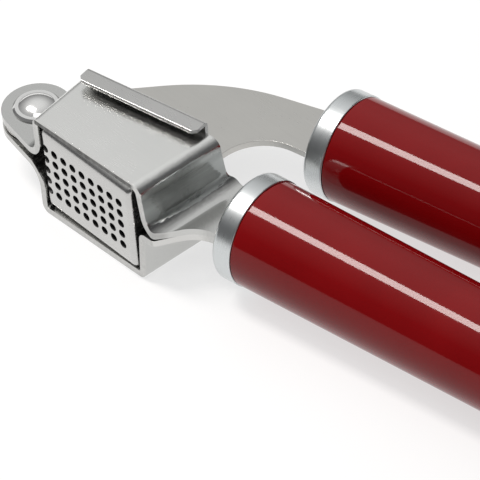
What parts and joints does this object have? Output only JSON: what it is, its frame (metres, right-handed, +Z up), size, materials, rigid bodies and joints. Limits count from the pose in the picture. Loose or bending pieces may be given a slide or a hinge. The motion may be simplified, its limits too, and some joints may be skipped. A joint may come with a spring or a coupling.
{
  "type": "garlic press",
  "caption": "Hand garlic press: stamped steel lower arm with a perforated strainer basket, flat pusher arm on a riveted pivot, and round gloss grips with satin ferrules.",
  "frame": {"origin": "bottom centre of the bounding box of the closed press, lying flat", "axes": "+Z up and parallel to the pivot axis; +X from the pivot towards the grips; -Y is the way the perforated face looks"},
  "size_m": [0.1878, 0.0828, 0.0296],
  "materials": {
    "frame_steel": "satin rolled sheet, polished at the bends",
    "basket_steel": "fine satin sheet",
    "arm_steel": "satin sheet with a brighter sheared edge",
    "polished_steel": "polished",
    "ferrule_satin": "satin turned",
    "grip_gloss": "deep red, high gloss",
    "core_plastic": "moulded, hidden"
  },
  "bodies": {
    "frame": {"frame_upper_shell": "frame_steel", "frame_lower_shell": "frame_steel", "strainer_basket": "basket_steel", "pivot_rivet": "polished_steel", "pivot_ring_upper": "polished_steel", "pivot_ring_lower": "polished_steel", "lower_ferrule": "ferrule_satin", "lower_handle_core": "core_plastic", "lower_tang_pin_front": "polished_steel", "lower_tang_pin_rear": "polished_steel", "lower_grip_sleeve": "grip_gloss", "lower_end_cap": "ferrule_satin"},
    "pusher": {"pusher_arm": "arm_steel", "pusher_face": "basket_steel", "pusher_bracket_upper": "arm_steel", "pusher_bracket_lower": "arm_steel", "upper_ferrule": "ferrule_satin", "upper_handle_core": "core_plastic", "upper_tang_pin_front": "polished_steel", "upper_tang_pin_rear": "polished_steel", "upper_grip_sleeve": "grip_gloss", "upper_end_cap": "ferrule_satin"}
  },
  "joints": [
    {"name": "main_hinge", "type": "hinge", "parent": "frame", "child": "pusher", "pos_m": [-0.08606, -0.03161, 0.0135], "axis": [0, 0, 1], "range_deg": [0, 110]}
  ]
}
